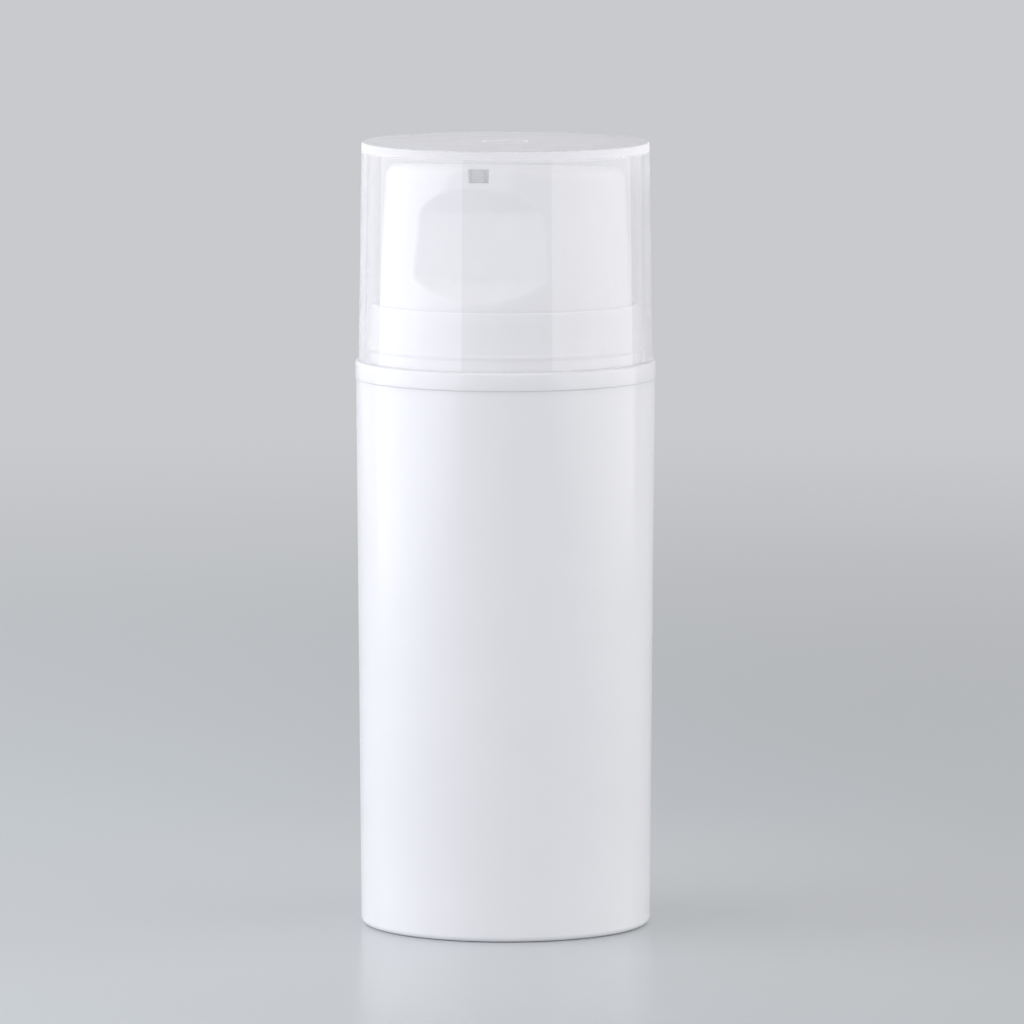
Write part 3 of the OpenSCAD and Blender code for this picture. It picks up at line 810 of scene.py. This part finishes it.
def button_part(x, y, z, r, out, up):
    """The roof lets light into the outlet, and the walls inside the button pass it on."""
    beside_duct = abs(x) < OUTLET_W / 2 + BESIDE and abs(z - duct_axis(-y)) < OUTLET_H / 2 + BESIDE
    if beside_duct and POLE < -y < NOZZLE_D - OUTLET_EDGE / 2:
        return INSIDE
    roof = z > BUTTON_TOP - y * math.tan(BUTTON_SLOPE) - ROOF_T / 2
    if roof and up > LEVEL:
        return SKIN
    return SHUT if (r > SCOOP_D - mm or roof) and (out > OUTWARD or up > TILTED) else INSIDE


def sleeve_part(x, y, z, r, out, up):
    """The sleeve's uppermost edge lets light into the gap round the button."""
    if z > SLEEVE_TOP - LIT_EDGE:
        return SKIN if out > -TILTED else INSIDE
    return INSIDE if z > WEB_TOP and out < -TILTED else SHUT


# Return spring

WIRE = 0.9 * mm
SPRING_TURNS = 7
TURN_POINTS = 40
CLOSED_PITCH = 1.35


def return_spring():
    """Compression spring of round wire with a closed turn at each end."""
    foot, top = low("return_spring"), high("return_spring")
    mean_r = radius("return_spring") - WIRE / 2
    closed = CLOSED_PITCH * WIRE
    travel = top - foot - WIRE
    path = bpy.data.curves.new("return_spring_wire", "CURVE")
    path.dimensions = "3D"
    path.bevel_depth = WIRE / 2
    path.bevel_resolution = 5
    path.use_fill_caps = True
    line = path.splines.new("POLY")
    line.points.add(SPRING_TURNS * TURN_POINTS)
    for i, point in enumerate(line.points):
        turn = i / TURN_POINTS
        even = closed + (travel - 2 * closed) * (turn - 1) / (SPRING_TURNS - 2)
        rise = max(closed * turn if turn < 1 else even, 0)
        if turn > SPRING_TURNS - 1:
            rise = travel - closed * (SPRING_TURNS - turn)
        angle = 2 * math.pi * turn
        point.co = (mean_r * math.cos(angle), mean_r * math.sin(angle), foot + WIRE / 2 + rise, 1)
    piece = bpy.data.objects.new("return_spring_wire", path)
    bpy.context.collection.objects.link(piece)
    only(piece)
    bpy.ops.object.convert(target="MESH")
    bpy.ops.object.shade_smooth_by_angle(angle=math.radians(40))
    return bpy.context.object


# Pieces inside the bottle, kept in the CAD's own shapes

def smooth_copy(node):
    """A copy of a CAD node with its triangles joined, so that its round faces shade smoothly."""
    piece = bpy.data.objects.new(node + "_moulding", frame["nodes"][node].data.copy())
    bpy.context.collection.objects.link(piece)
    only(piece)
    if piece.data.has_custom_normals:
        bpy.ops.mesh.customdata_custom_splitnormals_clear()
    bpy.ops.object.mode_set(mode="EDIT")
    bpy.ops.mesh.select_all(action="SELECT")
    bpy.ops.mesh.remove_doubles(threshold=MERGE)
    bpy.ops.mesh.tris_convert_to_quads()
    bpy.ops.object.mode_set(mode="OBJECT")
    shade(piece, 30)
    return piece


# The object's pieces

made = {
    "bottle_body": bottle_body(),
    "base_plug": base_plug(),
    "collar": collar(),
    "overcap": overcap(),
    "actuator_shell": button_shell(),
    "return_spring": return_spring(),
}
for node in ("bottle_body", "base_plug", "collar", "overcap"):
    soften(made[node])
    shade(made[node])
shade(made["actuator_shell"], 60)

for node in frame["nodes"]:
    piece = made.get(node) or smooth_copy(node)
    stands_for(piece, node, FINISHES[SLOTS[node]])
light_inside(made["actuator_shell"], button_part)
light_inside(made["collar"], sleeve_part)

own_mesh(made["return_spring"])


# Camera

VIEW_TURN = math.radians(13)
VIEW_DISTANCE = 1.54
VIEW_HEIGHT = 0.235
AIM_HEIGHT = 63.7 * mm
AIM_SHIFT = 1.0 * mm
LENS = 353.4

to_camera = Vector((math.sin(VIEW_TURN), -math.cos(VIEW_TURN), 0))
to_right = Vector((math.cos(VIEW_TURN), math.sin(VIEW_TURN), 0))


def place(right, front, up):
    """A point given from the camera's side: to its right, towards it and up."""
    return to_right * right + to_camera * front + Vector((0, 0, up))


def photograph():
    aim = place(AIM_SHIFT, 0, AIM_HEIGHT)
    stand = place(AIM_SHIFT, VIEW_DISTANCE, VIEW_HEIGHT)
    bpy.ops.object.camera_add(location=stand, rotation=(aim - stand).to_track_quat("-Z", "Y").to_euler())
    camera = bpy.context.object
    camera.data.lens = LENS
    camera.data.clip_start = 0.01
    bpy.context.scene.camera = camera


deselect()
photograph()


# Light

def softbox(name, centre, facing, width, height, radiance, colour):
    """A flat panel of even light that faces one way. The camera doesn't see it, gloss does."""
    bpy.ops.object.light_add(type="AREA")
    panel = bpy.context.object
    panel.name = name
    panel.matrix_world = Matrix.Translation(centre) @ facing.to_track_quat("-Z", "Y").to_matrix().to_4x4()
    panel.data.shape = "RECTANGLE"
    panel.data.size = width
    panel.data.size_y = height
    panel.data.energy = radiance * math.pi * width * height
    panel.data.color = linear(colour)[:3]
    panel.visible_camera = False
    panel.visible_transmission = False


LEFT_TONE = "#fafaff"
RIGHT_TONE = "#fffdfd"
softbox("left_softbox", place(-0.42, 0.21, 0.25), to_right, 0.82, 0.5, 1.72, LEFT_TONE)
softbox("left_reflector", place(-0.42, -0.7, 0.25), to_right, 1.0, 0.5, 0.36, LEFT_TONE)
softbox("right_softbox", place(0.50, 0.21, 0.25), -to_right, 0.93, 0.5, 1.26, RIGHT_TONE)


BACKDROP = "#c9cacd"


def seen(tree):
    """Says whether a ray comes from the camera, at first hand or by way of gloss or a clear piece."""
    return ray_is(tree, "Is Camera Ray", "Is Glossy Ray", "Is Transmission Ray")


def studio_world():
    """Even light from all round, seen by the camera and in gloss as the tone of the background."""
    world = bpy.data.worlds.new("studio")
    bpy.context.scene.world = world
    world.use_nodes = True
    tree = world.node_tree
    tree.nodes.clear()
    light = add(tree, "ShaderNodeBackground", {"Color": linear("#fdfdff"), "Strength": 0.55})
    backdrop = add(tree, "ShaderNodeBackground", {"Color": linear(BACKDROP), "Strength": 1})
    either = mixed(tree, seen(tree), light.outputs[0], backdrop.outputs[0])
    output = add(tree, "ShaderNodeOutputWorld")
    tree.links.new(either, output.inputs["Surface"])


studio_world()


# Floor

FLOOR_R = 8.0
FLOOR_SIDES = 128
FLOOR_GAP = 0.02 * mm
NEAR = 0.1
FAR = 0.8
SHEEN_NEAR = 0.05
SHEEN_FAR = 0.16
# Half width of the painted shade's change across the paper, from the lighter left to the darker right
PAINTED_SHADE_HALF = 0.09


def floor_paper():
    """Pale coated studio paper: matt, with painted shade that darkens it towards the camera's right, a faint
    sheen by the foot, one with the backdrop further off.
    """
    material, tree, output, coords = new_material("studio_paper")
    flat = add(tree, "ShaderNodeVectorMath", {0: coords, 1: (1, 1, 0)}, operation="MULTIPLY")
    distance = add(tree, "ShaderNodeVectorMath", {0: flat.outputs[0]}, operation="LENGTH")
    share = add(tree, "ShaderNodeMapRange", {
        "Value": distance.outputs["Value"], "From Min": NEAR, "From Max": FAR,
    }, interpolation_type="SMOOTHSTEP")
    shown = calc(tree, "MULTIPLY", share.outputs["Result"], seen(tree))
    # Painted shade: the paper's own colour is darker towards the camera's right, standing in for less light
    # falling there
    painted_shade_across = add(tree, "ShaderNodeVectorMath", {0: coords, 1: to_right}, operation="DOT_PRODUCT")
    side = add(tree, "ShaderNodeMapRange", {
        "Value": painted_shade_across.outputs["Value"], "From Min": -PAINTED_SHADE_HALF, "From Max": PAINTED_SHADE_HALF,
    }, interpolation_type="SMOOTHSTEP")
    grey = add(tree, "ShaderNodeMix", {
        "Factor": side.outputs["Result"], "A": linear("#d1d6d8"), "B": linear("#c8cbcd"),
    }, data_type="RGBA")
    matt = add(tree, "ShaderNodeBsdfDiffuse", {"Color": grey.outputs["Result"]})
    sheen = add(tree, "ShaderNodeBsdfGlossy", {"Color": linear("#ffffff"), "Roughness": 0.22})
    slant = add(tree, "ShaderNodeFresnel", {"IOR": 1.3})
    by_the_foot = add(tree, "ShaderNodeMapRange", {
        "Value": distance.outputs["Value"], "From Min": SHEEN_NEAR, "From Max": SHEEN_FAR,
        "To Min": 0.8, "To Max": 0,
    }, interpolation_type="SMOOTHSTEP")
    gloss = calc(tree, "MULTIPLY", slant.outputs[0], by_the_foot.outputs["Result"])
    paper = mixed(tree, gloss, matt.outputs[0], sheen.outputs[0])
    backdrop = add(tree, "ShaderNodeEmission", {"Color": linear(BACKDROP), "Strength": 1})
    tree.links.new(mixed(tree, shown, paper, backdrop.outputs[0]), output.inputs["Surface"])
    return material


def studio_floor():
    deselect()
    bpy.ops.mesh.primitive_circle_add(
        vertices=FLOOR_SIDES, radius=FLOOR_R, fill_type="NGON", location=(0, 0, -FLOOR_GAP),
    )
    floor = bpy.context.object
    floor.name = "studio_floor"
    floor.data.materials.append(floor_paper())


studio_floor()

bpy.context.scene.view_settings.view_transform = "Standard"
